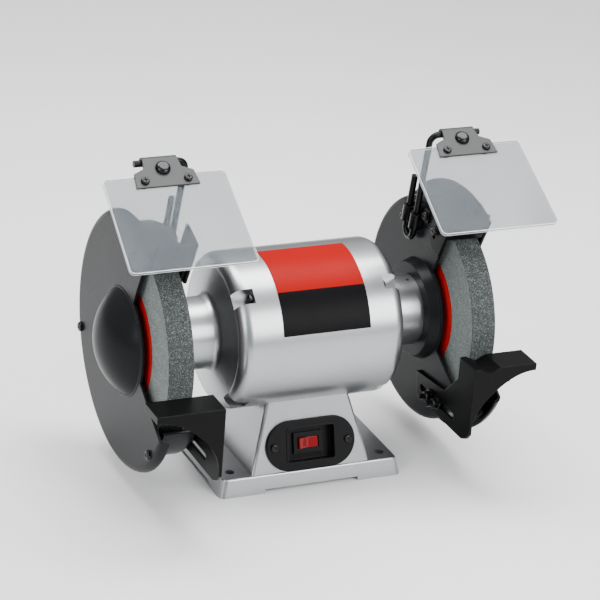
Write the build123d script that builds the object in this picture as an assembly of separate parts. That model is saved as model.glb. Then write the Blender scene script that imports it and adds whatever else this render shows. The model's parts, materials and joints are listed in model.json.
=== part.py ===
from build123d import *
import math
import os

# Bench grinder with an eye shield, tool rest and spark arrester at each wheel.
# Row frame: origin on the bench under the motor, in the middle of the bolt pattern.
# +X runs along the spindle to the coarse wheel, -Y faces the user and +Z is up.
# All lengths are in millimetres.

# Spindle line and wheels
AXIS_HEIGHT = 145.5
WHEEL_SPACING = 312.5
WHEEL_DIAMETER = 200.0
WHEEL_WIDTH = 25.0
WHEEL_BORE = 15.9
BLOTTER_DIAMETER = 114.0
BLOTTER_THICKNESS = 0.8
FLANGE_DIAMETER = 68.0
FLANGE_THICKNESS = 5.0
SPINDLE_JOURNAL = 17.0
SPINDLE_MIDDLE = 20.0
SPINDLE_REACH = 192.0
NUT_ACROSS_FLATS = 24.0
NUT_HEIGHT = 10.0

# Motor
HOUSING_RADIUS = 76.65
HOUSING_WALL = 3.65
HOUSING_HALF_LENGTH = 65.0
BELL_SHOULDER_X = 74.0
BELL_FACE_X = 92.0
NECK_RADIUS = 35.3
NECK_END_X = 124.0
NECK_HOLE = (117.0, 79.0, 1.5)
BEARING_BORE = 17.0
BEARING_OUTER = 40.0
BEARING_WIDTH = 12.0
BEARING_INNER_X = 100.0
BALLS_PER_BEARING = 8
BOLT_CIRCLE_RADIUS = 69.5
BOLT_ANGLES = (48.0, 132.0, 228.0, 312.0)
STATOR_HALF_LENGTH = 30.0
STATOR_BORE_RADIUS = 42.0
AIR_GAP = 0.5
LABEL_X = (-43.5, 46.8)
LABEL_ANGLES = (16.0, 92.4)
LABEL_THICKNESS = 0.4

# Wheel guards and covers, right-hand side
GUARD_PLATE_X = 134.2
GUARD_SHEET = 2.5
GUARD_RADIUS = 112.0
GUARD_EAR_RADIUS = 121.0
GUARD_DEPTH_X = 170.0
GUARD_HUB_RADIUS = 51.0
GUARD_HUB_HOLE = 20.0
OPENING_ANGLES = (-28.0, 64.0)
OPENING_INNER_RADIUS = 53.5
COVER_FACE_X = 178.0
COVER_RADIUS = 126.0
COVER_EDGE_RADIUS = 8.0
COVER_OPENING_RADIUS = 55.0
COVER_MOUTH_CORNERS = ((-230.0, -127.0), (-230.0, 207.0))
DOME_RADIUS = 52.5
DOME_HEIGHT = 25.0
COVER_SCREW_RADIUS = 115.5
COVER_SCREW_ANGLES = (77.0, -43.0, -163.0)
GUARD_SCREW_RADIUS = 27.0
GUARD_SCREW_ANGLES = (90.0, 210.0, 330.0)

# Base casting
BASE_LENGTH = 193.0
BASE_DEPTH = 142.0
PLINTH_HEIGHT = 18.0
PLINTH_DRAFT = 4.0
PEDESTAL_LENGTH = 125.4
PEDESTAL_DEPTH = 131.4
PEDESTAL_TOP = 110.0
FRONT_LEAN = 16.3
SIDE_LEAN = 16.1
BASE_WALL = 5.0
SADDLE_WALL = 6.0
FOOT_RISE = 4.0
FOOT_LENGTH = 47.0
FOOT_DEPTH = 31.5
BENCH_HOLE_RADIUS = 4.5
BENCH_HOLE_SPACING = (160.0, 104.0)
BENCH_BOSS_RADIUS = 9.0

# Switch
SWITCH_HEIGHT = 42.1
SWITCH_PLATE_SIZE = (93.8, 50.1)
SWITCH_PLATE_THICKNESS = 3.0
TRAY_SIZE = (49.0, 33.0)
TRAY_DEPTH = 7.0
TRAY_WALL = 1.5
ROCKER_SIZE = (21.5, 10.2)
ROCKER_TILT = 8.0
SWITCH_SCREW_X = 39.0

# Tool rests, spark arresters, rods and shields
REST_TOP = -7.2
REST_DEPTH = 32.0
REST_SHEET = 3.0
REST_PLATE = 7.0
REST_OUTER_X = 197.5
LEFT_REST_BACK = -116.0
RIGHT_REST_BACK = -103.0
REST_BOLTS_YZ = ((-68.0, -72.5), (-52.0, -72.5))
REST_SLOT_ENDS = (-103.0, -29.5)
ARRESTER_RADII = (103.0, 134.0)
ARRESTER_SHEET = 2.5
ARRESTER_OUTER_X = 171.0
ARRESTER_SCREW_RADIUS = 98.0
ARRESTER_SLOT = (87.0, 103.0)
SLIDE_GAP = 0.3
ROD_RADIUS = 3.2
ROD_TIP_HEIGHT = 184.0
LEFT_ROD = (-13.0, 15.0)
RIGHT_ROD = (-4.0, 9.0)
ROD_LEG_PITCH = 16.0
ROD_BOTTOM = 68.0
ROD_SHORT_TOP = 131.0
ROD_END_X = 180.0
ROD_X = 128.5
SHIELD_CENTRE_X = 156.0
SHIELD_SIZE = (124.0, 104.0)
SHIELD_TAPER = 2.0
SHIELD_THICKNESS = 3.0
SHIELD_START = 17.0
LEFT_SHIELD_TILT = 58.0
RIGHT_SHIELD_TILT = 60.5
BRACKET_SHEET = 2.0
BRACKET_WIDTHS = (34.0, 62.0)
BRACKET_SCREW_X = 21.0

CONTACT = 0.02
WHEEL_INNER_X = WHEEL_SPACING / 2 - WHEEL_WIDTH / 2
WHEEL_OUTER_X = WHEEL_SPACING / 2 + WHEEL_WIDTH / 2
SHOULDER_X = WHEEL_INNER_X - BLOTTER_THICKNESS - FLANGE_THICKNESS
REST_PLATE_X = GUARD_PLATE_X - SLIDE_GAP - REST_SHEET


# ---------------------------------------------------------------- helpers
def lift(shape):
    """Move a shape built about the X axis up to the spindle line."""
    return Pos(0, 0, AXIS_HEIGHT) * shape


def turned(points):
    """Solid of revolution about the spindle from (x, radius) corner points."""
    face = make_face(Polyline(*points, close=True))
    return lift(revolve(face, axis=Axis.X))


def tube(inner, outer, x0, x1):
    """Straight ring about the spindle."""
    return turned([(x0, inner), (x1, inner), (x1, outer), (x0, outer)])


def rod_x(radius, x0, x1, y=0.0, z=0.0):
    """Cylinder along X between x0 and x1, at y and z from the spindle."""
    middle = Location(((x0 + x1) / 2, y, z + AXIS_HEIGHT), (0, 90, 0))
    return middle * Cylinder(radius, x1 - x0)


def polar(radius, angle):
    """(y, z) from the spindle; the angle rises from the front towards the top."""
    a = math.radians(angle)
    return -radius * math.cos(a), radius * math.sin(a)


def side_prism(points, x0, x1):
    """Extrude a (y, z) outline, given from the spindle, from x0 to x1."""
    face = make_face(Polyline(*points, close=True))
    placed = Plane((x0, 0, AXIS_HEIGHT), x_dir=(0, 1, 0), z_dir=(1, 0, 0)) * face
    return extrude(placed, amount=x1 - x0, dir=(1, 0, 0))


def sector(a0, a1, x0, x1, reach=200.0):
    """Wedge about the spindle between two angles."""
    steps = 4
    rim = [polar(reach, a0 + (a1 - a0) * i / steps) for i in range(steps + 1)]
    return side_prism([(0.0, 0.0)] + rim, x0, x1)


def mirrored(shape):
    return mirror(shape, about=Plane.YZ)


def on_side(shape, side):
    """Shapes are built on the right; the left ones are their mirror image."""
    return shape if side == "right" else mirrored(shape)


def aim(shape, origin, direction):
    """Place a shape so that its +Z points along a direction."""
    return Plane(origin, z_dir=direction).location * shape


def pan_screw(diameter, length, head_diameter, head_height):
    """Cross-recessed pan-head screw: head above z = 0, shank below."""
    head = Cylinder(head_diameter / 2, head_height, align=(Align.CENTER, Align.CENTER, Align.MIN))
    head = fillet(head.edges().group_by(Axis.Z)[-1], head_height * 0.55)
    slot = Box(head_diameter * 0.55, head_diameter * 0.14, head_height)
    cross = Pos(0, 0, head_height) * (slot + Rot(0, 0, 90) * slot)
    shank = Cylinder(diameter / 2, length, align=(Align.CENTER, Align.CENTER, Align.MAX))
    return head + shank - cross


def hexagon(across_flats, height):
    """Chamfered hexagonal prism standing on z = 0."""
    prism = extrude(RegularPolygon(across_flats / 2, 6, major_radius=False), amount=height)
    corner = across_flats / math.sqrt(3)
    cone = Cylinder(corner - 0.3, height, align=(Align.CENTER, Align.CENTER, Align.MIN))
    cone = chamfer(cone.edges(), min(0.9, height / 4))
    return prism & cone


def nut(bore, across_flats, height):
    return hexagon(across_flats, height) - Cylinder(bore / 2, 4 * height)


def washer(bore, outer, thickness):
    ring = Cylinder(outer / 2, thickness, align=(Align.CENTER, Align.CENTER, Align.MIN))
    return ring - Cylinder(bore / 2, 4 * thickness)


def hex_bolt(diameter, length, across_flats, head_height):
    """Hexagon bolt: head above z = 0, shank below."""
    shank = Cylinder(diameter / 2, length, align=(Align.CENTER, Align.CENTER, Align.MAX))
    return hexagon(across_flats, head_height) + shank


def group(solids):
    """Separate solids of one kind, kept in one node."""
    bodies = []
    for shape in solids:
        bodies.extend(shape.solids())
    return Compound(children=bodies)


def both(make):
    """Right and left copies of a list of right-hand solids."""
    solids = make()
    return solids + [mirrored(s) for s in solids]


# ---------------------------------------------------------------- base
def frustum(length, depth, z0, z1, x_lean, y_lean, corner):
    """Rounded rectangle that narrows upwards by the two lean angles."""
    rise = z1 - z0
    top = (
        length - 2 * rise * math.tan(math.radians(x_lean)),
        depth - 2 * rise * math.tan(math.radians(y_lean)),
    )
    low = Pos(0, 0, z0) * RectangleRounded(length, depth, corner)
    high = Pos(0, 0, z1) * RectangleRounded(top[0], top[1], corner)
    return loft([low, high])


def face_plane(sign, x=0.0, height=SWITCH_HEIGHT):
    """Plane on the pedestal's sloping front (-1) or rear (+1) face."""
    lean = math.radians(FRONT_LEAN)
    y = PEDESTAL_DEPTH / 2 - (height - PLINTH_HEIGHT) * math.tan(lean)
    normal = (0, sign * math.cos(lean), math.sin(lean))
    return Plane((x, sign * y, height), x_dir=(-sign, 0, 0), z_dir=normal)


def corners(spacing):
    return [(sx * spacing[0] / 2, sy * spacing[1] / 2) for sx in (-1, 1) for sy in (-1, 1)]


COVER_PLATE_SCREWS = (148.0, 50.0)
GLAND_X = -34.0
GLAND_HEIGHT = 44.0
GLAND_THREAD_RADIUS = 8.0
MOTOR_BOLT_X = 30.0


def base_casting():
    draft = math.degrees(math.atan(PLINTH_DRAFT / PLINTH_HEIGHT))
    plinth = frustum(BASE_LENGTH, BASE_DEPTH, 0, PLINTH_HEIGHT, draft, draft, 6)
    plinth = fillet(plinth.faces().sort_by(Axis.Z)[-1].edges(), 2)
    pedestal = frustum(PEDESTAL_LENGTH, PEDESTAL_DEPTH, PLINTH_HEIGHT, PEDESTAL_TOP,
                       SIDE_LEAN, FRONT_LEAN, 3)
    body = plinth + pedestal
    ceiling = PLINTH_HEIGHT - BASE_WALL
    under = frustum(BASE_LENGTH - 2 * BASE_WALL, BASE_DEPTH - 2 * BASE_WALL, -0.5, ceiling,
                    draft, draft, 4)
    drop = PLINTH_HEIGHT - ceiling + 1
    widen_x = 2 * drop * math.tan(math.radians(SIDE_LEAN)) - 2 * BASE_WALL
    widen_y = 2 * drop * math.tan(math.radians(FRONT_LEAN)) - 2 * BASE_WALL
    hollow = frustum(PEDESTAL_LENGTH + widen_x, PEDESTAL_DEPTH + widen_y,
                     PLINTH_HEIGHT - drop, PEDESTAL_TOP + 1, SIDE_LEAN, FRONT_LEAN, 3)
    hollow -= rod_x(HOUSING_RADIUS + SADDLE_WALL, -120, 120)
    body -= under + hollow
    for x, y in corners(BENCH_HOLE_SPACING):
        boss = Pos(x, y, ceiling / 2 + 0.5) * Cylinder(BENCH_BOSS_RADIUS, ceiling + 1)
        body += boss
    for x, y in corners(COVER_PLATE_SCREWS):
        body += Pos(x, y, (7 + ceiling) / 2 + 0.5) * Cylinder(4.5, ceiling - 6)
    gap_x = BASE_LENGTH - 2 * FOOT_LENGTH
    gap_y = BASE_DEPTH - 2 * FOOT_DEPTH
    body -= Box(gap_x, BASE_DEPTH + 2, 2 * FOOT_RISE)
    body -= Box(BASE_LENGTH + 2, gap_y, 2 * FOOT_RISE)
    body -= rod_x(HOUSING_RADIUS + 0.05, -120, 120)
    for x, y in corners(BENCH_HOLE_SPACING):
        body -= Pos(x, y, 10) * Cylinder(BENCH_HOLE_RADIUS, 30)
    for x, y in corners(COVER_PLATE_SCREWS):
        body -= Pos(x, y, 9) * Cylinder(2 + CONTACT, 9)
    tray = TRAY_SIZE[0] + 2 * TRAY_WALL + 1
    body -= face_plane(-1) * Box(tray, TRAY_SIZE[1] + 2 * TRAY_WALL + 1, 40)
    for side in (-1, 1):
        body -= face_plane(-1) * Pos(side * SWITCH_SCREW_X, 0, 0) * Cylinder(2 + CONTACT, 30)
        body -= Pos(side * MOTOR_BOLT_X, 0, 68) * Cylinder(3.2, 20)
    body -= face_plane(1, GLAND_X, GLAND_HEIGHT) * Cylinder(GLAND_THREAD_RADIUS + CONTACT, 30)
    return body


def bottom_cover():
    plate = Pos(0, 0, 6) * extrude(RectangleRounded(178, 126, 5), amount=2, both=False)
    plate = Pos(0, 0, -1) * plate
    for x, y in corners(BENCH_HOLE_SPACING):
        plate -= Pos(x, y, 6) * Cylinder(BENCH_BOSS_RADIUS + 1.5, 10)
    for x, y in corners((BENCH_HOLE_SPACING[0] + 20, BENCH_HOLE_SPACING[1] + 20)):
        plate -= Pos(x, y, 6) * Box(20, 20, 10)
    for x, y in corners(COVER_PLATE_SCREWS):
        plate -= Pos(x, y, 6) * Cylinder(2.2, 10)
    for i in range(-3, 4):
        plate -= Pos(i * 12, 0, 6) * extrude(SlotOverall(50, 4, rotation=90), amount=8, both=True)
    return plate


def bottom_cover_screws():
    screw = pan_screw(4, 8.5, 7.6, 2.2)
    return group([aim(screw, (x, y, 5), (0, 0, -1)) for x, y in corners(COVER_PLATE_SCREWS)])


def motor_mount_bolts():
    top = AXIS_HEIGHT - HOUSING_RADIUS - SADDLE_WALL
    length = HOUSING_RADIUS + SADDLE_WALL - (HOUSING_RADIUS - HOUSING_WALL) - 0.3
    bolt = hex_bolt(6, length, 10, 4)
    seat = 0.2
    return group([aim(bolt, (side * MOTOR_BOLT_X, 0, top - seat), (0, 0, -1)) for side in (-1, 1)])


def run_capacitor():
    can = Cylinder(15, 62)
    can = fillet(can.edges(), 2)
    posts = [Pos(dx, 0, 33) * Cylinder(2, 6) for dx in (-6, 6)]
    for post in posts:
        can += post
    return Location((6, 26, 32), (0, 90, 0)) * can


# ---------------------------------------------------------------- switch
def switch_plate():
    plate = extrude(SlotOverall(*SWITCH_PLATE_SIZE), amount=SWITCH_PLATE_THICKNESS)
    plate = fillet(plate.faces().sort_by(Axis.Z)[-1].edges(), 1.0)
    outer = (TRAY_SIZE[0] + 2 * TRAY_WALL, TRAY_SIZE[1] + 2 * TRAY_WALL)
    depth = TRAY_DEPTH + TRAY_WALL
    plate += Pos(0, 0, -depth / 2) * Box(outer[0], outer[1], depth)
    plate -= extrude(Pos(0, 0, -TRAY_DEPTH) * RectangleRounded(*TRAY_SIZE, 2.5), amount=30)
    plate -= Box(28.6, 18.6, 60)
    for side in (-1, 1):
        plate -= Pos(side * SWITCH_SCREW_X, 0, 0) * Cylinder(2.1, 20)
    rim = extrude(RectangleRounded(TRAY_SIZE[0] + 3, TRAY_SIZE[1] + 3, 4), amount=0.8)
    rim -= extrude(RectangleRounded(*TRAY_SIZE, 2.5), amount=5, both=True)
    plate += Pos(0, 0, SWITCH_PLATE_THICKNESS) * rim
    return face_plane(-1) * Pos(0, 0, 0.05) * plate


def switch_body():
    floor = -TRAY_DEPTH + 0.05
    bezel = Pos(0, 0, floor + 1.5) * Box(31, 21, 3)
    bezel = fillet(bezel.edges().filter_by(Axis.Z), 1.2)
    body = bezel + Pos(0, 0, floor - 12) * Box(28, 18, 24)
    body -= Pos(0, 0, floor - 2) * Box(ROCKER_SIZE[0] + 0.8, ROCKER_SIZE[1] + 0.8, 10)
    for dx in (-9, 0, 9):
        body += Pos(dx, 0, floor - 28) * Box(1, 6.3, 8)
    return face_plane(-1) * body


def rocker_button():
    """Paddle with two facets that meet in a shallow valley over its pivot."""
    half = ROCKER_SIZE[0] / 2
    profile = [(-half, 1.6), (0.0, 0.0), (half, 1.6), (half - 1.2, -4.0), (-half + 1.2, -4.0)]
    face = make_face(Polyline(*profile, close=True))
    slab = extrude(face, amount=ROCKER_SIZE[1] / 2, both=True)
    slab = Rot(90, 0, 0) * slab
    slab = fillet(slab.edges().filter_by(Axis.Y).sort_by(Axis.Z)[-2:], 0.8)
    ribs = [Pos(-half * 0.55 + i * 1.6, 0, 0.95 - i * 0.2) * Box(0.6, 7.5, 0.7) for i in range(3)]
    for rib in ribs:
        slab += rib
    return face_plane(-1) * Pos(0, 0, -TRAY_DEPTH + 2.6) * Rot(0, ROCKER_TILT, 0) * slab


def switch_plate_screws():
    screw = pan_screw(4, 12, 7.6, 2.4)
    offset = SWITCH_PLATE_THICKNESS + 0.05
    return group([face_plane(-1) * Pos(side * SWITCH_SCREW_X, 0, offset) * screw for side in (-1, 1)])


def cable_gland():
    """Compression gland; its bore takes the power cord."""
    low = (Align.CENTER, Align.CENTER, Align.MIN)
    body = Pos(0, 0, -12) * Cylinder(GLAND_THREAD_RADIUS, 14, align=low)
    body += Pos(0, 0, 0.05) * hexagon(21, 6)
    cap = Pos(0, 0, 6) * Cone(10, 7, 14, align=low)
    body += fillet(cap.edges().group_by(Axis.Z)[-1], 2)
    body += Pos(0, 0, -BASE_WALL / math.cos(math.radians(FRONT_LEAN)) - 4.3) * hexagon(22, 4)
    body -= Cylinder(4, 80)
    return face_plane(1, GLAND_X, GLAND_HEIGHT) * body


# ---------------------------------------------------------------- motor
def motor_housing():
    inner = HOUSING_RADIUS - HOUSING_WALL
    shell = tube(inner, HOUSING_RADIUS, -HOUSING_HALF_LENGTH, HOUSING_HALF_LENGTH)
    for side in (-1, 1):
        shell -= Pos(side * MOTOR_BOLT_X, 0, 68) * Cylinder(3 + CONTACT, 20)
    return shell


def bell_outline():
    """Outer profile of an end bell: rim, rounded shoulder, face, neck."""
    rim = HOUSING_RADIUS
    start = (HOUSING_HALF_LENGTH, rim)
    shoulder = (BELL_SHOULDER_X, rim)
    crown = (BELL_SHOULDER_X + 8.5, rim - 3.8)
    edge = (BELL_SHOULDER_X + 11.5, rim - 12)
    root = (BELL_FACE_X - 1, NECK_RADIUS + 6)
    neck = (BELL_FACE_X + 5.5, NECK_RADIUS)
    tip = (NECK_END_X, NECK_RADIUS)
    outline = Polyline(start, shoulder)
    outline += ThreePointArc(shoulder, crown, edge)
    outline += Line(edge, root)
    outline += RadiusArc(root, neck, -7)
    outline += Polyline(neck, tip, (NECK_END_X, 0), (HOUSING_HALF_LENGTH, 0), start)
    return lift(revolve(make_face(outline), axis=Axis.X))


def end_bell():
    spigot = HOUSING_RADIUS - HOUSING_WALL - CONTACT
    lip = HOUSING_HALF_LENGTH
    solid = bell_outline() + tube(60, spigot, lip - 5, lip)
    seat = BEARING_INNER_X + BEARING_WIDTH + 0.6
    cavity = turned([
        (lip - 6, 0), (lip - 6, 68.5), (lip + 9, 68.5), (lip + 14, 62), (BELL_FACE_X - 6, 38),
        (BELL_FACE_X - 2, 28), (BEARING_INNER_X, 28), (BEARING_INNER_X, BEARING_OUTER / 2),
        (seat, BEARING_OUTER / 2), (seat, SPINDLE_JOURNAL / 2 + 1.5),
        (NECK_END_X + 1, SPINDLE_JOURNAL / 2 + 1.5), (NECK_END_X + 1, 0),
    ])
    shell = solid - cavity
    outside = bell_outline() + tube(0.5, spigot, lip - 5, lip)
    pocket_floor = 64.5
    for angle in BOLT_ANGLES:
        y, z = polar(1, angle)
        turn = Plane((0, 0, AXIS_HEIGHT), x_dir=(1, 0, 0), z_dir=(0, y, z))
        block = turn * Pos(lip + 8, 0, 68) * Box(26, 21, 14)
        shell += block & outside
        shell -= turn * Pos(lip + 2.2 + 15, 0, pocket_floor + 10) * Box(30, 15, 20)
        by, bz = polar(BOLT_CIRCLE_RADIUS, angle)
        shell -= rod_x(2.7, lip - 10, lip + 10, by, bz)
    for angle in GUARD_SCREW_ANGLES:
        y, z = polar(GUARD_SCREW_RADIUS, angle)
        shell -= rod_x(2.5 + CONTACT, NECK_END_X - 11, NECK_END_X + 1, y, z)
    y, z = polar(1, NECK_HOLE[1])
    hole = Plane((NECK_HOLE[0], 0, AXIS_HEIGHT), x_dir=(1, 0, 0), z_dir=(0, y, z))
    shell -= hole * Pos(0, 0, NECK_RADIUS) * Cylinder(NECK_HOLE[2], 12)
    return shell


def stator_core():
    slots = 24
    core = tube(STATOR_BORE_RADIUS, HOUSING_RADIUS - HOUSING_WALL - 0.05,
                -STATOR_HALF_LENGTH, STATOR_HALF_LENGTH)
    for i in range(slots):
        angle = 360 / slots * (i + 0.5)
        y, z = polar(STATOR_BORE_RADIUS + 9, angle)
        core -= rod_x(3.2, -STATOR_HALF_LENGTH - 1, STATOR_HALF_LENGTH + 1, y, z)
    for angle in BOLT_ANGLES:
        y, z = polar(BOLT_CIRCLE_RADIUS, angle)
        core -= rod_x(3.4, -STATOR_HALF_LENGTH - 1, STATOR_HALF_LENGTH + 1, y, z)
    return core


def stator_windings():
    ring = tube(45.5, 63.5, STATOR_HALF_LENGTH + 0.3, STATOR_HALF_LENGTH + 22)
    ring = fillet(ring.edges(), 5)
    return group([ring, mirrored(ring)])


def through_bolts():
    reach = HOUSING_HALF_LENGTH + 2.2
    solids = []
    for angle in BOLT_ANGLES:
        y, z = polar(BOLT_CIRCLE_RADIUS, angle)
        bolt = hex_bolt(5, 2 * reach + 4.2, 8, 3.5)
        solids.append(aim(bolt, (reach, y, z + AXIS_HEIGHT), (1, 0, 0)))
        solids.append(aim(nut(5 + 2 * CONTACT, 8, 4), (-reach, y, z + AXIS_HEIGHT), (-1, 0, 0)))
    return group(solids)


def rating_label():
    sheet = tube(HOUSING_RADIUS + CONTACT, HOUSING_RADIUS + CONTACT + LABEL_THICKNESS, *LABEL_X)
    return sheet & sector(LABEL_ANGLES[0], LABEL_ANGLES[1], LABEL_X[0] - 1, LABEL_X[1] + 1)


def race_groove(x):
    pitch = (BEARING_BORE + BEARING_OUTER) / 4
    ring = Torus(pitch, 3.45)
    return Location((x, 0, AXIS_HEIGHT), (0, 90, 0)) * ring


def bearing_middle():
    return BEARING_INNER_X + BEARING_WIDTH / 2


def bearing_outer_rings():
    inside = 16.4
    ring = tube(inside, BEARING_OUTER / 2 - CONTACT, BEARING_INNER_X, BEARING_INNER_X + BEARING_WIDTH)
    ring -= race_groove(bearing_middle())
    return group([ring, mirrored(ring)])


def bearing_inner_rings():
    outside = 12.1
    ring = tube(SPINDLE_JOURNAL / 2 + CONTACT, outside, BEARING_INNER_X,
                BEARING_INNER_X + BEARING_WIDTH)
    ring -= race_groove(bearing_middle())
    return group([ring, mirrored(ring)])


def bearing_balls():
    pitch = (BEARING_BORE + BEARING_OUTER) / 4
    solids = []
    for i in range(BALLS_PER_BEARING):
        y, z = polar(pitch, 360 / BALLS_PER_BEARING * i)
        for x in (-bearing_middle(), bearing_middle()):
            solids.append(Pos(x, y, z + AXIS_HEIGHT) * Sphere(3.4))
    return group(solids)


def wave_washer():
    start = BEARING_INNER_X + BEARING_WIDTH
    return tube(15.5, BEARING_OUTER / 2 - 0.1, start + 0.05, start + 0.55)


# ---------------------------------------------------------------- rotor
def spindle():
    thread = WHEEL_BORE / 2 - CONTACT
    journal = SPINDLE_JOURNAL / 2
    middle = SPINDLE_MIDDLE / 2
    step = BEARING_INNER_X - 2
    half = [
        (0, 0), (0, middle), (step, middle), (step, journal), (SHOULDER_X, journal),
        (SHOULDER_X, thread), (SPINDLE_REACH - 1.5, thread), (SPINDLE_REACH, thread - 1.5),
        (SPINDLE_REACH, 0),
    ]
    right = turned(half)
    return right + mirrored(right)


def rotor_core():
    radius = STATOR_BORE_RADIUS - AIR_GAP
    core = tube(SPINDLE_MIDDLE / 2 + CONTACT, radius, -STATOR_HALF_LENGTH, STATOR_HALF_LENGTH)
    ring = tube(24, radius - 1.5, STATOR_HALF_LENGTH, STATOR_HALF_LENGTH + 8)
    return core + ring + mirrored(ring)


def flange(x0, x1, relief_at_high_x):
    """Clamping flange with its middle relieved so that it grips at the rim."""
    radius = FLANGE_DIAMETER / 2
    ring = tube(WHEEL_BORE / 2, radius, x0, x1)
    ring = chamfer(ring.edges().filter_by(lambda e: e.length > 6 * radius), 0.8)
    relief = (x1 - 1.2, x1 + 1) if relief_at_high_x else (x0 - 1, x0 + 1.2)
    return ring - tube(14, radius - 9, *relief)


def inner_flanges():
    face = WHEEL_INNER_X - BLOTTER_THICKNESS
    right = flange(face - FLANGE_THICKNESS, face, True)
    return group([right, mirrored(right)])


def outer_flanges():
    face = WHEEL_OUTER_X + BLOTTER_THICKNESS
    right = flange(face, face + FLANGE_THICKNESS, False)
    return group([right, mirrored(right)])


def wheel():
    ring = tube(WHEEL_BORE / 2, WHEEL_DIAMETER / 2, WHEEL_INNER_X, WHEEL_OUTER_X)
    rim = ring.edges().filter_by(lambda e: e.length > 3 * WHEEL_DIAMETER)
    return fillet(rim, 0.8)


def wheel_blotters():
    radius = BLOTTER_DIAMETER / 2
    bore = WHEEL_BORE / 2
    inner = tube(bore, radius, WHEEL_INNER_X - BLOTTER_THICKNESS, WHEEL_INNER_X)
    outer = tube(bore, radius, WHEEL_OUTER_X, WHEEL_OUTER_X + BLOTTER_THICKNESS)
    return group([inner, outer, mirrored(inner), mirrored(outer)])


def spindle_nut():
    seat = WHEEL_OUTER_X + BLOTTER_THICKNESS + FLANGE_THICKNESS
    piece = nut(WHEEL_BORE, NUT_ACROSS_FLATS, NUT_HEIGHT)
    return aim(piece, (seat, 0, AXIS_HEIGHT), (1, 0, 0))


# ---------------------------------------------------------------- guards
def guard(rod):
    """Pressed pan with a dished hub, a band over the wheel and three screw ears."""
    x0 = GUARD_PLATE_X
    t = GUARD_SHEET
    r = GUARD_RADIUS
    bend = 6.0
    floor = NECK_END_X
    hub = GUARD_HUB_RADIUS
    slant = 45 * math.pi / 180
    k = 1 - math.sin(slant)
    outline = Polyline((floor, GUARD_HUB_HOLE), (floor, hub - 4), (x0, hub), (x0, r - bend))
    outline += ThreePointArc((x0, r - bend), (x0 + bend * k, r - bend * k), (x0 + bend, r))
    end = GUARD_DEPTH_X
    outline += Polyline((x0 + bend, r), (end, r), (end, r - t), (x0 + bend, r - t))
    inner = bend - t
    outline += ThreePointArc((x0 + bend, r - t), (x0 + t + inner * k, r - t - inner * k),
                             (x0 + t, r - bend))
    outline += Polyline((x0 + t, r - bend), (x0 + t, hub - t), (floor + t, hub - 4 - t),
                        (floor + t, GUARD_HUB_HOLE), (floor, GUARD_HUB_HOLE))
    pan = lift(revolve(make_face(outline), axis=Axis.X))
    mouth = sector(OPENING_ANGLES[0], OPENING_ANGLES[1], x0 - 20, end + 5)
    mouth -= rod_x(OPENING_INNER_RADIUS, x0 - 30, end + 10)
    pan -= mouth
    for y, z in guard_holes(rod):
        pan -= rod_x(2.5 + CONTACT, x0 - 20, x0 + 5, y, z)
    for y, z in REST_BOLTS_YZ:
        pan -= rod_x(3 + CONTACT, x0 - 5, x0 + 5, y, z)
    for angle in COVER_SCREW_ANGLES:
        ear = tube(r - t, GUARD_EAR_RADIUS, end - t, end)
        pan += ear & sector(angle - 4, angle + 4, end - t, end)
        y, z = polar(COVER_SCREW_RADIUS, angle)
        pan -= rod_x(2.5 + CONTACT, end - 5, end + 5, y, z)
    return pan


def guard_holes(rod):
    """Centres of the 5 mm holes in the guard's plate."""
    holes = [polar(GUARD_SCREW_RADIUS, a) for a in GUARD_SCREW_ANGLES]
    return holes + clamp_screw_points(rod) + arrester_screw_points()


def cover():
    """Outer side cover: flat face, rolled edge and a dome over the spindle end."""
    face = COVER_FACE_X
    t = GUARD_SHEET
    r = COVER_RADIUS
    e = COVER_EDGE_RADIUS
    k = e * (1 - math.sin(math.pi / 4))
    skirt = GUARD_DEPTH_X - 0.5
    ball = (DOME_RADIUS ** 2 + DOME_HEIGHT ** 2) / (2 * DOME_HEIGHT)
    centre = face + DOME_HEIGHT - ball
    rise = 0.8
    base = DOME_RADIUS
    half = base * 0.5
    crown = face + DOME_HEIGHT
    mid = (centre + math.sqrt(ball ** 2 - half ** 2), half)
    ball_in = ball - t
    base_in = base - t
    start_in = centre + math.sqrt(ball_in ** 2 - base_in ** 2)
    mid_in = (centre + math.sqrt(ball_in ** 2 - half ** 2), half)
    outline = ThreePointArc((crown, 0), mid, (face + rise, base - 0.6))
    outline += Polyline((face + rise, base - 0.6), (face + rise, base + 0.6), (face, base + 1.4),
                        (face, r - e))
    outline += ThreePointArc((face, r - e), (face - k, r - k), (face - e, r))
    outline += Polyline((face - e, r), (skirt, r), (skirt, r - t), (face - e, r - t))
    inner = e - t
    ki = inner * (1 - math.sin(math.pi / 4))
    outline += ThreePointArc((face - e, r - t), (face - t - ki, r - t - ki), (face - t, r - e))
    outline += Polyline((face - t, r - e), (face - t, base_in), (start_in, base_in))
    outline += ThreePointArc((start_in, base_in), mid_in, (centre + ball_in, 0))
    outline += Line((centre + ball_in, 0), (crown, 0))
    shell = lift(revolve(make_face(outline), axis=Axis.X))
    mouth = side_prism([(-20, -1), *COVER_MOUTH_CORNERS, polar(230, OPENING_ANGLES[1]), (0, 0)],
                       skirt - 10, crown + 5)
    mouth -= rod_x(COVER_OPENING_RADIUS, skirt - 20, crown + 10)
    shell -= mouth
    for angle in COVER_SCREW_ANGLES:
        y, z = polar(COVER_SCREW_RADIUS, angle)
        shell += rod_x(5, GUARD_DEPTH_X, face - t / 2, y, z)
        shell -= rod_x(2.5 + CONTACT, skirt - 5, face + 5, y, z)
    return shell


def screws_at(points, x, screw):
    """Screws pointing into the guard, heads towards -X, on the right-hand side."""
    return [aim(screw, (x, y, z + AXIS_HEIGHT), (-1, 0, 0)) for y, z in points]


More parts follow.
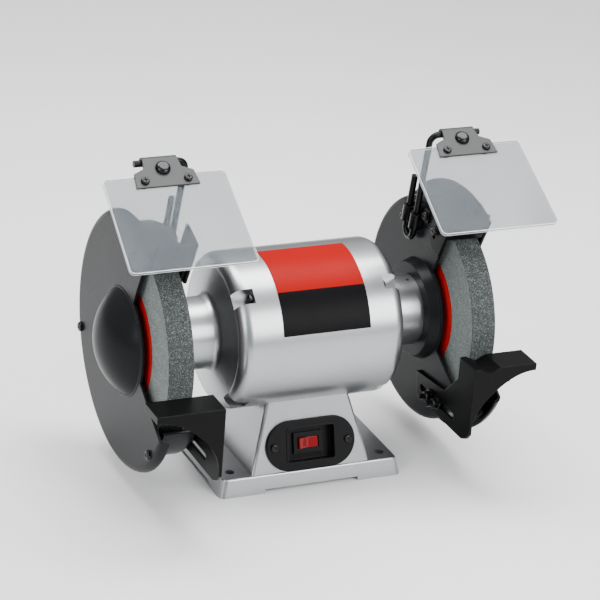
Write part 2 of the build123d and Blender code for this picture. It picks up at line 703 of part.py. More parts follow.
def guard_screws():
    screw = pan_screw(5, 12.5, 9, 2.8)
    seat = NECK_END_X + GUARD_SHEET

    def make():
        points = [polar(GUARD_SCREW_RADIUS, a) for a in GUARD_SCREW_ANGLES]
        return [aim(screw, (seat, y, z + AXIS_HEIGHT), (1, 0, 0)) for y, z in points]

    return group(both(make))


def cover_screws():
    screw = pan_screw(5, COVER_FACE_X - GUARD_DEPTH_X + 4, 9.5, 3)

    def make():
        points = [polar(COVER_SCREW_RADIUS, a) for a in COVER_SCREW_ANGLES]
        return [aim(screw, (COVER_FACE_X, y, z + AXIS_HEIGHT), (1, 0, 0)) for y, z in points]

    return group(both(make))


# ---------------------------------------------------------------- tool rests
def tool_rest(back, grooved):
    """Side plate with an adjusting slot, flat table and arched front apron."""
    front = back - REST_DEPTH
    top = REST_TOP
    x0 = REST_PLATE_X
    end = REST_OUTER_X
    shift = back - RIGHT_REST_BACK
    side = [
        (back, top), (front, top), (front, -76), (front + 5, -82), (front + 14, -86),
        (-24 + shift, -86), (-19 + shift, -60), (back + 24, -54), (back, -30),
    ]
    plate = side_prism(side, x0, x0 + REST_SHEET)
    plate = fillet(plate.edges().filter_by(Axis.X).group_by(Axis.Z)[0], 5)
    table = Pos((x0 + end) / 2, (front + back) / 2, AXIS_HEIGHT + top - REST_PLATE / 2) * Box(
        end - x0, REST_DEPTH, REST_PLATE)
    foot = (x0 + REST_SHEET, -76)
    arch = Spline(foot, (138.5, -52.5), (155, -32.5), (180, -17), (end, top - REST_PLATE))
    apron = arch + Polyline((end, top - REST_PLATE), (end, top), (x0, top), (x0, -76), foot)
    sheet = Plane((0, front, AXIS_HEIGHT), x_dir=(1, 0, 0), z_dir=(0, -1, 0)) * make_face(apron)
    gusset = side_prism([(back, top - 2), (front + 2, top - 2), (front + 2, -24)], 168, 171)
    body = plate + table + extrude(sheet, amount=4.0, dir=(0, 1, 0)) + gusset
    lip = body.edges().filter_by(Axis.X).group_by(Axis.Z)[-1].sort_by(Axis.Y)[0]
    body = fillet(lip, 0.8)
    if grooved:
        notch = [(137, 1), (137, 0), (148, -5.2), (158.5, 0), (158.5, 1)]
        vee = make_face(Polyline(*notch, close=True))
        placed = Plane((0, 0, AXIS_HEIGHT + top), x_dir=(1, 0, 0), z_dir=(0, -1, 0)) * vee
        body -= extrude(placed, amount=200, dir=(0, -1, 0), both=True)
    low, high = REST_SLOT_ENDS
    slot = extrude(SlotOverall(high - low, 7.0), amount=10, both=True)
    middle = ((low + high) / 2 + shift, REST_BOLTS_YZ[0][1] + AXIS_HEIGHT)
    body -= Plane((x0, middle[0], middle[1]), x_dir=(0, 1, 0), z_dir=(1, 0, 0)) * slot
    return body


def rest_bolts():
    head = fillet(Cylinder(6.5, 2.4, align=(Align.CENTER, Align.CENTER, Align.MIN))
                  .edges().group_by(Axis.Z)[-1], 1.3)
    bolt = head + Cylinder(3, 19, align=(Align.CENTER, Align.CENTER, Align.MAX))
    seat = GUARD_PLATE_X + GUARD_SHEET
    outer = REST_PLATE_X - SLIDE_GAP

    def make():
        solids = []
        for y, z in REST_BOLTS_YZ:
            solids.append(aim(bolt, (seat, y, z + AXIS_HEIGHT), (1, 0, 0)))
            ring = washer(6 + 2 * CONTACT, 14, 1.5)
            solids.append(aim(ring, (outer, y, z + AXIS_HEIGHT), (-1, 0, 0)))
            piece = nut(6 + 2 * CONTACT, 10, 5)
            solids.append(aim(piece, (outer - 1.5, y, z + AXIS_HEIGHT), (-1, 0, 0)))
        return solids

    return group(both(make))


# ---------------------------------------------------------------- spark arresters
def arrester_direction():
    """Unit (y, z) along which the arrester is adjusted, out from the wheel."""
    return polar(1.0, OPENING_ANGLES[1])


def arrester_point(radius, behind):
    """(y, z) at a radius along the opening's upper edge and a distance behind it."""
    uy, uz = arrester_direction()
    return radius * uy + behind * uz, radius * uz - behind * uy


def arrester_screw_points():
    return [arrester_point(ARRESTER_SCREW_RADIUS, 15.0)]


def spark_arrester():
    """Shutter plate in front of the opening's upper edge, on a slotted side ear."""
    low, high = ARRESTER_RADII
    gap = -SLIDE_GAP - 0.2
    x0 = REST_PLATE_X
    x1 = REST_PLATE_X + REST_SHEET
    shutter = [arrester_point(low, gap), arrester_point(high, gap),
               arrester_point(high, gap - ARRESTER_SHEET), arrester_point(low, gap - ARRESTER_SHEET)]
    body = side_prism(shutter, x0, ARRESTER_OUTER_X)
    ear = [arrester_point(76, 12), arrester_point(80, gap - ARRESTER_SHEET),
           arrester_point(high, gap - ARRESTER_SHEET), arrester_point(high - 2.5, 25.5),
           arrester_point(88, 25.5), arrester_point(78, 18)]
    body += side_prism(ear, x0, x1)
    uy, uz = arrester_direction()
    y, z = arrester_point(sum(ARRESTER_SLOT) / 2, 15.0)
    slot = extrude(SlotOverall(ARRESTER_SLOT[1] - ARRESTER_SLOT[0], 6.0), amount=10, both=True)
    place = Plane((x0, y, z + AXIS_HEIGHT), x_dir=(0, uy, uz), z_dir=(1, 0, 0))
    return body - place * slot


def arrester_screws():
    outer = REST_PLATE_X - SLIDE_GAP
    screw = pan_screw(5, GUARD_PLATE_X - outer + 7, 9, 2.8)

    def make():
        solids = screws_at(arrester_screw_points(), outer - 1.0, screw)
        ring = washer(5 + 2 * CONTACT, 10, 1.0)
        solids += screws_at(arrester_screw_points(), outer, ring)
        piece = nut(5 + 2 * CONTACT, 8, 3)
        seat = GUARD_PLATE_X + GUARD_SHEET
        for y, z in arrester_screw_points():
            solids.append(aim(piece, (seat, y, z + AXIS_HEIGHT), (1, 0, 0)))
        return solids

    return group(both(make))


# ---------------------------------------------------------------- rods and clamps
def leg_point(rod, z, behind=0.0):
    """Point on a rod's leaning leg at a height above the spindle."""
    tip_y, lean = rod
    a = math.radians(lean)
    y = tip_y + (ROD_TIP_HEIGHT - z) * math.tan(a)
    return Vector(ROD_X, y + behind * math.cos(a), z + behind * math.sin(a))


def shield_rod(rod):
    """Round rod with a hairpin foot and a bent-over end that carries the shield."""
    tip = leg_point(rod, ROD_TIP_HEIGHT)
    route = [
        leg_point(rod, ROD_SHORT_TOP, ROD_LEG_PITCH), leg_point(rod, ROD_BOTTOM, ROD_LEG_PITCH),
        leg_point(rod, ROD_BOTTOM), tip, Vector(ROD_END_X, tip.Y, tip.Z),
    ]
    hairpin = ROD_LEG_PITCH / 2 - 0.1
    path = FilletPolyline(*[(p.X, p.Y, p.Z + AXIS_HEIGHT) for p in route],
                          radius=[hairpin, hairpin, 9.0])
    section = Plane(path @ 0, z_dir=path % 0) * Circle(ROD_RADIUS)
    return sweep(section, path=path)


CLAMP_HEIGHT = 90.0
CLAMP_SCREW_OFFSET = (21.0, 12.0)
CLAMP_EAR = (
    (-8, -8.5), (-8, 8.5), (-12, 16), (-17, 18.5), (-24, 18.5), (-27, 16), (-27, 8), (-24, 5),
    (-18, 3), (-14, -8.5),
)


def clamp_frame(rod):
    """Plane across the two rod legs at the clamp, normal along the legs."""
    middle = leg_point(rod, CLAMP_HEIGHT, ROD_LEG_PITCH / 2)
    up = leg_point(rod, CLAMP_HEIGHT + 10) - leg_point(rod, CLAMP_HEIGHT)
    return Plane((middle.X, middle.Y, middle.Z + AXIS_HEIGHT), x_dir=(1, 0, 0), z_dir=tuple(up))


def clamp_screw_points(rod):
    """(y, z) of the two clamp screws from the spindle line."""
    frame = clamp_frame(rod)
    across, along = CLAMP_SCREW_OFFSET
    points = []
    for side in (-1, 1):
        p = frame.origin + frame.y_dir * side * across - frame.z_dir * side * along
        points.append((p.Y, p.Z - AXIS_HEIGHT))
    return points


def rod_clamp(rod):
    """Saddle plate pressed over both rod legs."""
    width = 17.0
    inner = ROD_RADIUS + SLIDE_GAP
    outer = inner + 2.4
    half = ROD_LEG_PITCH / 2
    seat = GUARD_PLATE_X - ROD_X
    thick = 2.4
    outline = Plane((seat, 0, 0), x_dir=(0, 1, 0), z_dir=(1, 0, 0))
    ear = extrude(outline * make_face(Polyline(*CLAMP_EAR, close=True)), amount=thick, dir=(-1, 0, 0))
    ear = fillet(ear.edges().filter_by(Axis.X), 1.5)
    sheet = ear + Rot(180, 0, 0) * ear + Pos(seat - thick / 2, 0, 0) * Box(thick, 2 * half, width)
    legs = [Pos(0, side * half, 0) for side in (-1, 1)]
    for leg in legs:
        sheet += leg * Cylinder(outer, width)
        sheet += leg * Pos(seat / 2, 0, 0) * Box(seat, 2 * outer, width)
    for leg in legs:
        sheet -= leg * Cylinder(inner, 3 * width)
        sheet -= leg * Pos(inner, 0, 0) * Box(2 * inner, 2 * inner, 3 * width)
    sheet -= Pos(seat + 10 - CONTACT, 0, 0) * Box(20, 100, 100)
    body = clamp_frame(rod).location * sheet
    for y, z in clamp_screw_points(rod):
        body -= rod_x(2.5 + CONTACT, ROD_X - 20, ROD_X + 20, y, z)
    return body


def rod_clamp_screws():
    outer = GUARD_PLATE_X - 2.4
    seat = GUARD_PLATE_X + GUARD_SHEET
    screw = pan_screw(5, 9, 9, 2.8)
    piece = nut(5 + 2 * CONTACT, 8, 3)
    solids = []
    for side, rod in (("left", LEFT_ROD), ("right", RIGHT_ROD)):
        points = clamp_screw_points(rod)
        solids += [on_side(shape, side) for shape in screws_at(points, outer, screw)]
        for y, z in points:
            solids.append(on_side(aim(piece, (seat, y, z + AXIS_HEIGHT), (1, 0, 0)), side))
    return group(solids)


# ---------------------------------------------------------------- eye shields
def shield_frame(rod, tilt):
    """Origin on the rod; +Y runs down the shield's slope, +Z is its upper normal."""
    t = math.radians(tilt)
    origin = (SHIELD_CENTRE_X, rod[0], ROD_TIP_HEIGHT + AXIS_HEIGHT)
    return Plane(origin, x_dir=(-1, 0, 0), z_dir=(0, -math.cos(t), math.sin(t)))


def shield_layers():
    """Heights above the rod's axis of the bracket's and the shield's undersides."""
    bracket = ROD_RADIUS + SLIDE_GAP
    return bracket, bracket - 0.05 - SHIELD_THICKNESS


BRACKET_SCREW_DOWN = 24.0
BRACKET_BOLT_DOWN = 11.0


def bracket_holes(shape, radius):
    for side in (-1, 1):
        shape -= Pos(side * BRACKET_SCREW_X, BRACKET_SCREW_DOWN, 0) * Cylinder(radius, 40)
    return shape


def shield_window(rod, tilt):
    width, height = SHIELD_SIZE
    half = width / 2
    near = half - SHIELD_TAPER
    end = SHIELD_START + height
    outline = [(-near, SHIELD_START), (-half, end), (half, end), (near, SHIELD_START)]
    under = shield_layers()[1]
    plate = extrude(Pos(0, 0, under) * make_face(Polyline(*outline, close=True)), amount=SHIELD_THICKNESS)
    plate = fillet(plate.edges().filter_by(Axis.Z), 5)
    plate = bracket_holes(plate, 2.2)
    return shield_frame(rod, tilt).location * plate


def shield_bracket(rod, tilt):
    """Stamped bracket: top edge rolled over the rod, wings over the shield's edge."""
    narrow, wide = (w / 2 for w in BRACKET_WIDTHS)
    under = shield_layers()[0]
    outline = [
        (-narrow, 0), (-narrow - 1.5, 10), (-wide + 2, 15), (-wide, 31),
        (wide, 31), (wide - 2, 15), (narrow + 1.5, 10), (narrow, 0),
    ]
    face = make_face(Polyline(*outline, close=True))
    plate = extrude(Pos(0, 0, under) * face, amount=BRACKET_SHEET)
    roll = Rot(0, 90, 0) * (Cylinder(under + BRACKET_SHEET, 2 * narrow)
                            - Cylinder(under, 2 * narrow + 2))
    roll -= Pos(0, 20, 0) * Box(100, 40, 60)
    plate += roll
    plate = bracket_holes(plate, 2.0 + CONTACT)
    plate -= Pos(0, BRACKET_BOLT_DOWN, 0) * Cylinder(3 + CONTACT, 40)
    return shield_frame(rod, tilt).location * plate


def shield_backing_plate(rod, tilt):
    """Lower clamp plate that squeezes the rod against the bracket's roll."""
    low = -(ROD_RADIUS + SLIDE_GAP)
    plate = Pos(0, 8.5, low - BRACKET_SHEET / 2) * Box(26, 15.6, BRACKET_SHEET)
    plate -= Pos(0, BRACKET_BOLT_DOWN, 0) * Cylinder(3 + CONTACT, 40)
    return shield_frame(rod, tilt).location * plate


def shield_fasteners(rod, tilt):
    """Domed pivot bolt with its nut, and the two cross-head shield screws."""
    bracket, shield = shield_layers()
    top = bracket + BRACKET_SHEET
    head = Cylinder(7.2, 4.2, align=(Align.CENTER, Align.CENTER, Align.MIN))
    head = fillet(head.edges().group_by(Axis.Z)[-1], 3.6)
    backing = -(ROD_RADIUS + SLIDE_GAP + BRACKET_SHEET)
    bolt = head + Cylinder(3, top - backing + 6, align=(Align.CENTER, Align.CENTER, Align.MAX))
    solids = [Pos(0, BRACKET_BOLT_DOWN, top) * bolt,
              Pos(0, BRACKET_BOLT_DOWN, backing - 4.5) * nut(6 + 2 * CONTACT, 10, 4.5)]
    for side in (-1, 1):
        place = Pos(side * BRACKET_SCREW_X, BRACKET_SCREW_DOWN, top)
        solids.append(place * pan_screw(4, 9.5, 8, 2.6))
        drop = Pos(side * BRACKET_SCREW_X, BRACKET_SCREW_DOWN, shield - 3.1)
        solids.append(drop * nut(4 + 2 * CONTACT, 7, 3))
    frame = shield_frame(rod, tilt).location
    return group([frame * s for s in solids])


# ---------------------------------------------------------------- output
def build_parts():
    parts = {
        "base_casting": base_casting(),
        "base_bottom_cover": bottom_cover(),
        "base_bottom_cover_screws": bottom_cover_screws(),
        "motor_mount_bolts": motor_mount_bolts(),
        "run_capacitor": run_capacitor(),
        "switch_plate": switch_plate(),
        "switch_body": switch_body(),
        "switch_rocker_button": rocker_button(),
        "switch_plate_screws": switch_plate_screws(),
        "power_cord_gland": cable_gland(),
        "motor_housing": motor_housing(),
        "motor_label_plate": rating_label(),
        "stator_core": stator_core(),
        "stator_windings": stator_windings(),
        "motor_through_bolts": through_bolts(),
        "bearing_outer_rings": bearing_outer_rings(),
        "bearing_inner_rings": bearing_inner_rings(),
        "bearing_balls": bearing_balls(),
        "bearing_wave_washer": wave_washer(),
        "spindle": spindle(),
        "rotor_core": rotor_core(),
        "wheel_inner_flanges": inner_flanges(),
        "wheel_outer_flanges": outer_flanges(),
        "wheel_blotters": wheel_blotters(),
        "guard_mounting_screws": guard_screws(),
        "cover_screws": cover_screws(),
        "tool_rest_bolts": rest_bolts(),
        "spark_arrester_screws": arrester_screws(),
        "rod_clamp_screws": rod_clamp_screws(),
    }
    makers = {
        "end_bell": end_bell,
        "grinding_wheel": wheel,
        "spindle_nut": spindle_nut,
        "guard_cover": cover,
        "spark_arrester": spark_arrester,
    }
    for name, make in makers.items():
        shape = make()
        for side in ("left", "right"):
            parts[f"{side}_{name}"] = on_side(shape, side)
    settings = {
        "left": (LEFT_REST_BACK, False, LEFT_SHIELD_TILT, LEFT_ROD),
        "right": (RIGHT_REST_BACK, True, RIGHT_SHIELD_TILT, RIGHT_ROD),
    }
    for side, (back, grooved, tilt, rod) in settings.items():
        parts[f"{side}_wheel_guard"] = on_side(guard(rod), side)
        parts[f"{side}_shield_rod"] = on_side(shield_rod(rod), side)
        parts[f"{side}_rod_clamp"] = on_side(rod_clamp(rod), side)
        parts[f"{side}_tool_rest"] = on_side(tool_rest(back, grooved), side)
        parts[f"{side}_shield_window"] = on_side(shield_window(rod, tilt), side)
        parts[f"{side}_shield_bracket"] = on_side(shield_bracket(rod, tilt), side)
        parts[f"{side}_shield_backing_plate"] = on_side(shield_backing_plate(rod, tilt), side)
        parts[f"{side}_shield_fasteners"] = on_side(shield_fasteners(rod, tilt), side)
    return parts


def main():
    os.makedirs("parts", exist_ok=True)
    for name, shape in build_parts().items():
        export_step(shape, f"parts/{name}.step")
        print(name, len(shape.solids()), round(shape.volume, 1))


main()
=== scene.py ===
import json
import math

import bmesh
import bpy
from mathutils import Matrix, Vector

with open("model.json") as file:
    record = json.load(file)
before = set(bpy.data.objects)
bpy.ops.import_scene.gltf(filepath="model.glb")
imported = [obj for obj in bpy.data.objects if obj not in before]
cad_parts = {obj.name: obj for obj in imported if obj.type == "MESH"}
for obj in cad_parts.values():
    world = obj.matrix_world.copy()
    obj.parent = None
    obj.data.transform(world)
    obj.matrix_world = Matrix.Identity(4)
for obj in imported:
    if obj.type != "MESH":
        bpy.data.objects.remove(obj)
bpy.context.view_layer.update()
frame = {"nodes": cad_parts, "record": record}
NODES = frame["nodes"]

SPINDLE_Z = 0.1455
WHEEL_SIDE_RADIUS, WHEEL_RIM_RADIUS = 0.0988, 0.0994  # a wheel's side ends, its rim begins
LABEL_SPLIT_LOW, LABEL_SPLIT_HIGH = 47.8, 48.2        # degrees up the motor, black below red

BEVEL_SAMPLES = 6
FLAT_DOT, CORNER_DOT = 0.995, 0.85   # cosine between true and bevelled normals
COLOUR_A, COLOUR_B, COLOUR_OUT = 6, 7, 2  # the colour sockets of a Mix node

CAMERA_TARGET = Vector((0.0052, 0.0, 0.1678))
CAMERA_DISTANCE = 2.484
CAMERA_LENS = 153.63
CAMERA_AZIMUTH, CAMERA_ELEVATION, CAMERA_ROLL = (math.radians(a) for a in (25.68, 23.69, 4.61))

FLOOR_HALF_SIDE = 6.0
LIGHT_TARGET = Vector((0.0, 0.0, 0.17))
LIGHTS = {  # name: place, size and power in watts
    "key": ((0.9, -1.8, 1.1), (1.2, 1.2), 45),
    "top": ((0.1, 0.3, 1.7), (1.8, 0.8), 62),
    "fill": ((-1.7, -0.9, 1.0), (0.8, 1.2), 20),
}
SKY_HORIZON, SKY_ZENITH = 0.2, 1.15
SKY_FULL_HEIGHT = 0.8  # height on the unit sphere where the sky reaches its zenith strength


# ---------------------------------------------------------------- node helpers
def rgba(colour):
    return (*colour, 1.0)


def scaled(colour, factor, lift=0.0):
    return tuple(min(1.0, c * factor + lift) for c in colour)


class Graph:
    """Small wrapper that adds shader nodes and links them."""

    def __init__(self, name):
        self.mat = bpy.data.materials.new(name)
        self.mat.use_nodes = True
        self.tree = self.mat.node_tree
        self.tree.nodes.clear()
        self.out = self.tree.nodes.new("ShaderNodeOutputMaterial")
        self.coords = self.tree.nodes.new("ShaderNodeTexCoord").outputs["Object"]

    def add(self, kind, inputs=None, **props):
        node = self.tree.nodes.new(kind)
        for key, value in props.items():
            setattr(node, key, value)
        for key, value in (inputs or {}).items():
            self.set(node.inputs[key], value)
        return node

    def set(self, socket, value):
        if isinstance(value, bpy.types.NodeSocket):
            self.tree.links.new(value, socket)
        else:
            socket.default_value = value

    def noise(self, scale, detail=4.0, rough=0.55, vector=None):
        inputs = {"Vector": vector or self.coords, "Scale": scale, "Detail": detail,
                  "Roughness": rough}
        return self.add("ShaderNodeTexNoise", inputs).outputs["Fac"]

    def stretch(self, scale):
        inputs = {"Vector": self.coords, "Scale": scale}
        return self.add("ShaderNodeMapping", inputs).outputs["Vector"]

    def grains(self, scale):
        """Voronoi cells: a random value for each, and the distance from its middle."""
        cells = self.add("ShaderNodeTexVoronoi", {"Vector": self.coords, "Scale": scale})
        value = self.add("ShaderNodeSeparateColor", {"Color": cells.outputs["Color"]})
        return value.outputs[0], cells.outputs["Distance"]

    def axes(self):
        """Object coordinates: Y, and Z measured up from the spindle."""
        parts = self.add("ShaderNodeSeparateXYZ", {"Vector": self.coords})
        return parts.outputs["Y"], self.math("SUBTRACT", parts.outputs["Z"], SPINDLE_Z)

    def ramp(self, fac, stops):
        node = self.add("ShaderNodeValToRGB", {"Fac": fac})
        band = node.color_ramp
        while len(band.elements) < len(stops):
            band.elements.new(0.5)
        for element, (place, colour) in zip(band.elements, stops):
            element.position = place
            element.color = rgba(colour)
        return node.outputs["Color"]

    def math(self, operation, a, b=None, clamp=False):
        node = self.add("ShaderNodeMath", operation=operation, use_clamp=clamp)
        self.set(node.inputs[0], a)
        if b is not None:
            self.set(node.inputs[1], b)
        return node.outputs[0]

    def remap(self, value, low, high, to_low, to_high):
        inputs = {"Value": value, "From Min": low, "From Max": high, "To Min": to_low,
                  "To Max": to_high}
        return self.add("ShaderNodeMapRange", inputs).outputs["Result"]

    def mix(self, fac, a, b):
        node = self.add("ShaderNodeMix", {"Factor": fac}, data_type="RGBA")
        for socket, value in ((COLOUR_A, a), (COLOUR_B, b)):
            self.set(node.inputs[socket], rgba(value) if isinstance(value, tuple) else value)
        return node.outputs[COLOUR_OUT]

    def bevelled(self, radius):
        bevel = self.add("ShaderNodeBevel", {"Radius": radius}, samples=BEVEL_SAMPLES)
        return bevel.outputs["Normal"]

    def edge(self, radius):
        """0 on flats, rising to 1 on corners sharper than the radius."""
        true = self.add("ShaderNodeNewGeometry")
        dot = self.add("ShaderNodeVectorMath", operation="DOT_PRODUCT")
        self.set(dot.inputs[0], self.bevelled(radius))
        self.set(dot.inputs[1], true.outputs["Normal"])
        return self.remap(dot.outputs["Value"], FLAT_DOT, CORNER_DOT, 0.0, 1.0)

    def bump(self, height, strength, distance, round_edge=None):
        inputs = {"Height": height, "Strength": strength, "Distance": distance}
        if round_edge:
            inputs["Normal"] = self.bevelled(round_edge)
        return self.add("ShaderNodeBump", inputs).outputs["Normal"]

    def surface(self, **inputs):
        """Principled shader; an underscore in a name stands for a space."""
        shader = self.add("ShaderNodeBsdfPrincipled")
        for key, value in inputs.items():
            self.set(shader.inputs[key.replace("_", " ")], value)
        self.tree.links.new(shader.outputs[0], self.out.inputs["Surface"])
        return self.mat


# ---------------------------------------------------------------- materials
def paint(name, colour, metallic, rough, peel, edge_tint=1.25, edge_radius=0.0012,
          flake=0.0, coat=0.0, specular=0.5, round_edge=True):
    """Sprayed enamel: orange peel, faint mottling and slightly thin edges."""
    g = Graph(name)
    tone = g.ramp(g.noise(35, 5), [(0.3, scaled(colour, 0.97)), (0.7, scaled(colour, 1.02))])
    if flake:
        spark, _ = g.grains(2600.0)
        tone = g.mix(g.remap(spark, 0.0, 1.0, 0.0, flake), tone, (0.95, 0.95, 0.95))
    patchy = g.remap(g.noise(220, 3), 0.35, 0.7, 0.0, 1.0)
    worn = g.math("MULTIPLY", g.edge(edge_radius), patchy, clamp=True)
    tone = g.mix(worn, tone, scaled(colour, edge_tint, lift=0.02))
    smudge = g.noise(14, 6, 0.6)
    roughness = g.remap(smudge, 0.3, 0.75, rough * 0.94, rough * 1.1)
    normal = g.bump(g.noise(900, 2), peel, 0.0004, edge_radius if round_edge else None)
    return g.surface(Base_Color=tone, Metallic=metallic, Roughness=roughness, Normal=normal,
                     Coat_Weight=coat, Coat_Roughness=0.12, Specular_IOR_Level=specular)


def metal(name, colour, rough, scratch, strength, metallic=1.0, edge_radius=0.0005):
    """Machined or plated metal with directional tool marks and slight staining."""
    g = Graph(name)
    lines = g.noise(1.0, 4, 0.6, g.stretch(scratch))
    tone = g.ramp(g.noise(60, 5, 0.65), [(0.3, scaled(colour, 0.8)), (0.7, colour)])
    roughness = g.remap(lines, 0.3, 0.7, rough * 0.75, rough * 1.3)
    return g.surface(Base_Color=tone, Metallic=metallic, Roughness=roughness,
                     Normal=g.bump(lines, strength, 0.0003, edge_radius))


def plastic(name, colour, rough, specular, strength=0.25, edge_radius=0.0008):
    """Injection moulding with a fine spark-eroded texture and paler edges."""
    g = Graph(name)
    tone = g.ramp(g.noise(50, 3), [(0.3, scaled(colour, 0.9)), (0.7, colour)])
    rubbed = g.math("MULTIPLY", g.edge(edge_radius), 0.35)
    tone = g.mix(rubbed, tone, scaled(colour, 1.6, lift=0.03))
    roughness = g.remap(g.noise(25, 5), 0.3, 0.7, rough * 0.85, rough * 1.15)
    return g.surface(Base_Color=tone, Roughness=roughness, Specular_IOR_Level=specular,
                     Normal=g.bump(g.noise(1400, 2), strength, 0.0003, edge_radius))


def abrasive(name):
    """Bonded grit: smooth pale sides and a coarse, open rim painted darker as painted shade."""
    g = Graph(name)
    across, up = g.axes()
    squared = g.math("ADD", g.math("POWER", up, 2.0), g.math("POWER", across, 2.0))
    rim = g.remap(g.math("SQRT", squared), WHEEL_SIDE_RADIUS, WHEEL_RIM_RADIUS, 0.0, 1.0)
    grit, from_middle = g.grains(1500.0)
    side_tone = g.ramp(grit, [(0.0, (0.1, 0.118, 0.113)), (0.5, (0.147, 0.171, 0.165)),
                              (0.88, (0.19, 0.217, 0.21)), (1.0, (0.33, 0.363, 0.352))])
    # painted shade: the rim tone is darker than the side tone, standing in for the shade on the
    # rim faces
    rim_painted_shade_tone = g.ramp(grit, [(0.0, (0.02, 0.023, 0.023)), (0.45, (0.055, 0.063, 0.062)),
                             (0.85, (0.095, 0.108, 0.105)), (1.0, (0.25, 0.275, 0.27))])
    tone = g.mix(rim, side_tone, rim_painted_shade_tone)
    patch = g.remap(g.noise(120, 5, 0.7), 0.35, 0.7, 0.0, 0.35)
    tone = g.mix(patch, tone, (0.06, 0.07, 0.068))
    pores = g.noise(1700, 3, 0.7)
    height = g.math("ADD", g.math("MULTIPLY", from_middle, -0.8), pores)
    strength = g.remap(rim, 0.0, 1.0, 0.45, 0.95)
    return g.surface(Base_Color=tone, Roughness=0.88, Specular_IOR_Level=0.15,
                     Normal=g.bump(height, strength, 0.0007))


def blotter(name):
    """Red blotting paper with visible fibres."""
    g = Graph(name)
    fibre = g.noise(1.0, 6, 0.7, g.stretch((300, 1500, 700)))
    tone = g.ramp(fibre, [(0.3, (0.26, 0.003, 0.004)), (0.7, (0.45, 0.008, 0.008))])
    return g.surface(Base_Color=tone, Roughness=0.8, Specular_IOR_Level=0.1,
                     Normal=g.bump(fibre, 0.3, 0.0003))


def windings(name):
    """Varnished copper wire laid round the stator."""
    g = Graph(name)
    strands = g.noise(1.0, 3, 0.6, g.stretch((90, 1600, 1600)))
    tone = g.ramp(strands, [(0.3, (0.2, 0.06, 0.02)), (0.7, (0.75, 0.3, 0.12))])
    return g.surface(Base_Color=tone, Metallic=0.8, Roughness=0.35,
                     Normal=g.bump(strands, 0.5, 0.0006))


def laminations(name):
    """Edges of thin stacked steel sheets."""
    g = Graph(name)
    wave = g.add("ShaderNodeTexWave", {"Vector": g.coords, "Scale": 620.0, "Distortion": 0.3},
                 bands_direction="X").outputs["Fac"]
    tone = g.ramp(wave, [(0.2, (0.07, 0.07, 0.075)), (0.8, (0.28, 0.28, 0.29))])
    return g.surface(Base_Color=tone, Metallic=0.8, Roughness=0.45,
                     Normal=g.bump(wave, 0.3, 0.0004))


def label_film(name):
    """Blank satin film: a red field above, a black one below."""
    g = Graph(name)
    across, up = g.axes()
    angle = g.math("ARCTAN2", up, g.math("MULTIPLY", across, -1.0))
    split = g.remap(angle, math.radians(LABEL_SPLIT_LOW), math.radians(LABEL_SPLIT_HIGH), 0.0, 1.0)
    tone = g.mix(split, (0.003, 0.003, 0.0035), (0.27, 0.0004, 0.0002))
    rough = g.remap(g.noise(30, 4), 0.3, 0.7, 0.34, 0.42)
    return g.surface(Base_Color=tone, Roughness=rough, Specular_IOR_Level=0.05,
                     Normal=g.bump(g.noise(700, 2), 0.05, 0.0002, 0.0003))


def clear_sheet(name):
    """Polycarbonate: clear with a faint smoky haze and fine scratches, and a painted highlight:
    cut edges toned near-white and more opaque.
    """
    g = Graph(name)
    scratches = g.noise(1.0, 5, 0.7, g.stretch((900, 120, 900)))
    # painted highlight: near the cut edges the sheet is toned near-white and made more opaque
    rim = g.edge(0.0016)
    haze = g.remap(g.noise(8, 3), 0.3, 0.7, 0.36, 0.42)
    alpha = g.math("ADD", haze, g.math("MULTIPLY", rim, 0.7), clamp=True)
    rough = g.remap(scratches, 0.4, 0.75, 0.07, 0.2)
    tone = g.mix(rim, (0.036, 0.053, 0.067), (0.97, 0.99, 1.0))
    return g.surface(Base_Color=tone, Roughness=rough, IOR=1.5, Alpha=alpha,
                     Specular_IOR_Level=0.25, Normal=g.bump(scratches, 0.02, 0.0002))


def floor_finish(name):
    """Pale matte board."""
    g = Graph(name)
    tone = g.ramp(g.noise(3, 3), [(0.3, (0.77, 0.775, 0.78)), (0.7, (0.8, 0.805, 0.81))])
    return g.surface(Base_Color=tone, Roughness=0.6, Normal=g.bump(g.noise(200, 3), 0.02, 0.0005))


# slot: the function that makes its material, and what that function is told
FINISHES = {
    "silver_paint": (paint, dict(colour=(0.34, 0.348, 0.36), metallic=0.94, rough=0.31, peel=0.03,
                                 flake=0.04, coat=0.3, round_edge=False, edge_tint=1.1)),
    "charcoal_paint": (paint, dict(colour=(0.008, 0.0085, 0.0095), metallic=0.0, rough=0.28,
                                   peel=0.08, specular=0.07)),
    "black_steel": (paint, dict(colour=(0.002, 0.002, 0.0022), metallic=0.0, rough=0.33,
                                peel=0.1, specular=0.08)),
    "grey_bracket": (paint, dict(colour=(0.035, 0.037, 0.037), metallic=0.0, rough=0.36,
                                 peel=0.1, specular=0.2)),
    "plated_rod": (metal, dict(colour=(0.013, 0.013, 0.0135), rough=0.3, scratch=(30, 900, 30),
                               strength=0.08, metallic=0.9)),
    "dark_screws": (metal, dict(colour=(0.03, 0.03, 0.032), rough=0.24, scratch=(500, 500, 500),
                                strength=0.08, metallic=0.95)),
    "turned_steel": (metal, dict(colour=(0.5, 0.5, 0.5), rough=0.3, scratch=(1500, 60, 60),
                                 strength=0.15)),
    "bearing_steel": (metal, dict(colour=(0.75, 0.75, 0.76), rough=0.12, scratch=(400, 400, 400),
                                  strength=0.03)),
    "black_plastic": (plastic, dict(colour=(0.0025, 0.0025, 0.003), rough=0.4, specular=0.12)),
    "red_plastic": (plastic, dict(colour=(0.2, 0.002, 0.005), rough=0.16, specular=0.3,
                                  strength=0.03)),
    "label_film": (label_film, {}),
    "lamination_steel": (laminations, {}),
    "copper_winding": (windings, {}),
    "red_paper": (blotter, {}),
    "grey_abrasive": (abrasive, {}),
    "clear_plastic": (clear_sheet, {}),
}


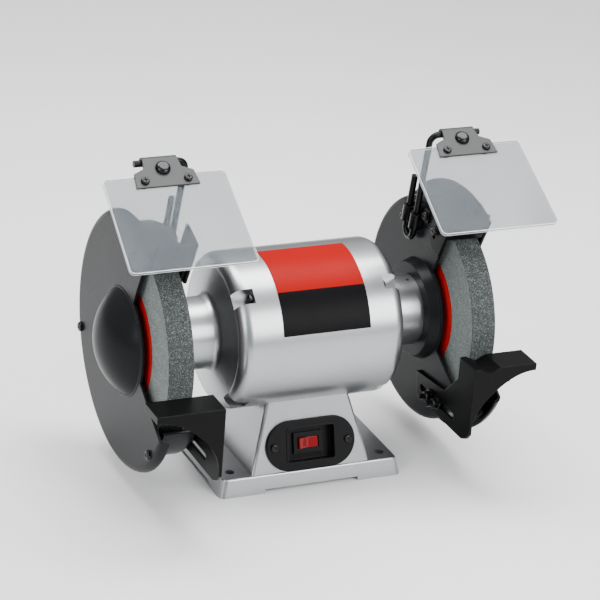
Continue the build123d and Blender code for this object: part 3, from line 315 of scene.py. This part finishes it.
def dress_parts():
    materials = {slot: make(slot, **values) for slot, (make, values) in FINISHES.items()}
    for part in frame["record"]["subparts"]:
        slots = NODES[part["node"]].data.materials
        slots.clear()
        slots.append(materials[part["material_slot"]])


# ---------------------------------------------------------------- studio
def link(name, data):
    obj = bpy.data.objects.new(name, data)
    bpy.context.scene.collection.objects.link(obj)
    return obj


def lay_floor():
    mesh = bpy.data.meshes.new("floor")
    shape = bmesh.new()
    corners = ((-1, -1), (1, -1), (1, 1), (-1, 1))
    shape.faces.new([shape.verts.new((x * FLOOR_HALF_SIDE, y * FLOOR_HALF_SIDE, 0.0))
                     for x, y in corners])
    shape.to_mesh(mesh)
    shape.free()
    mesh.materials.append(floor_finish("pale_floor"))
    floor = link("floor", mesh)


def light_sky():
    """White sky, dim at the horizon and bright overhead."""
    world = bpy.data.worlds.new("studio")
    bpy.context.scene.world = world
    world.use_nodes = True
    tree = world.node_tree
    coords = tree.nodes.new("ShaderNodeTexCoord")
    parts = tree.nodes.new("ShaderNodeSeparateXYZ")
    shade = tree.nodes.new("ShaderNodeMapRange")
    shade.inputs["From Min"].default_value = 0.0
    shade.inputs["From Max"].default_value = SKY_FULL_HEIGHT
    shade.inputs["To Min"].default_value = SKY_HORIZON
    shade.inputs["To Max"].default_value = SKY_ZENITH
    background = tree.nodes["Background"]
    background.inputs["Color"].default_value = rgba((1.0, 1.0, 1.0))
    tree.links.new(coords.outputs["Generated"], parts.inputs[0])
    tree.links.new(parts.outputs["Z"], shade.inputs["Value"])
    tree.links.new(shade.outputs["Result"], background.inputs["Strength"])


def hang_lights():
    for name, (place, size, power) in LIGHTS.items():
        data = bpy.data.lights.new(name, "AREA")
        data.shape = "RECTANGLE"
        data.size, data.size_y = size
        data.energy = power
        lamp = link(name, data)
        lamp.location = place
        lamp.rotation_mode = "QUATERNION"
        lamp.rotation_quaternion = (LIGHT_TARGET - Vector(place)).to_track_quat("-Z", "Y")


def place_camera():
    data = bpy.data.cameras.new("camera")
    data.sensor_width = 36.0
    data.lens = CAMERA_LENS
    data.clip_start, data.clip_end = 0.05, 50.0
    cam = link("camera", data)
    level = math.cos(CAMERA_ELEVATION)
    forward = Vector((math.sin(CAMERA_AZIMUTH) * level, math.cos(CAMERA_AZIMUTH) * level,
                      -math.sin(CAMERA_ELEVATION)))
    right = Vector((math.cos(CAMERA_AZIMUTH), -math.sin(CAMERA_AZIMUTH), 0.0))
    up = right.cross(forward)
    tilted_right = right * math.cos(CAMERA_ROLL) + up * math.sin(CAMERA_ROLL)
    tilted_up = -right * math.sin(CAMERA_ROLL) + up * math.cos(CAMERA_ROLL)
    turn = Matrix((tilted_right, tilted_up, -forward)).transposed()
    place = CAMERA_TARGET - forward * CAMERA_DISTANCE
    cam.matrix_world = Matrix.Translation(place) @ turn.to_4x4()
    bpy.context.scene.camera = cam


dress_parts()
lay_floor()
light_sky()
hang_lights()
place_camera()
bpy.context.view_layer.update()
